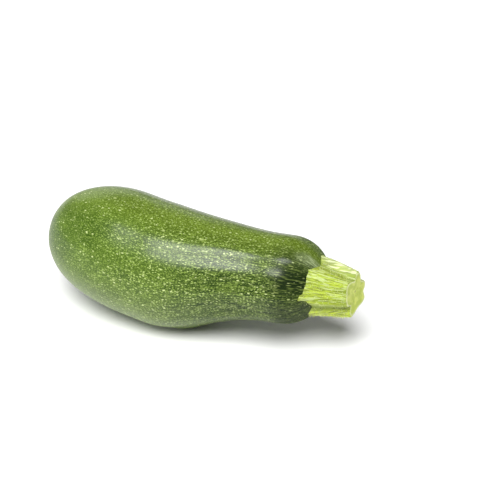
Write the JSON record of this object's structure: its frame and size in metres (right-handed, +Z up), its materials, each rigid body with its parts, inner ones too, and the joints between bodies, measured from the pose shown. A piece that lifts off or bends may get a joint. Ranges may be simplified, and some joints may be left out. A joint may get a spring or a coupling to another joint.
{
  "type": "zucchini",
  "caption": "Short, club-shaped zucchini lying on its belly, with soft ribs, a domed shoulder, a blossom scar and a pale ridged cut stem.",
  "frame": {"origin": "on the small flat spot under the belly that the fruit rests on", "axes": "+X from the blossom end to the stem, +Z up"},
  "size_m": [0.1643, 0.0629, 0.0634],
  "materials": {
    "fruit": "waxy green skin with pale dashes, satin shine",
    "stem": "pale yellow-green, fibrous and slightly rough, moist at the cut"
  },
  "bodies": {
    "root": {"fruit": "fruit", "stem": "stem"}
  },
  "joints": []
}
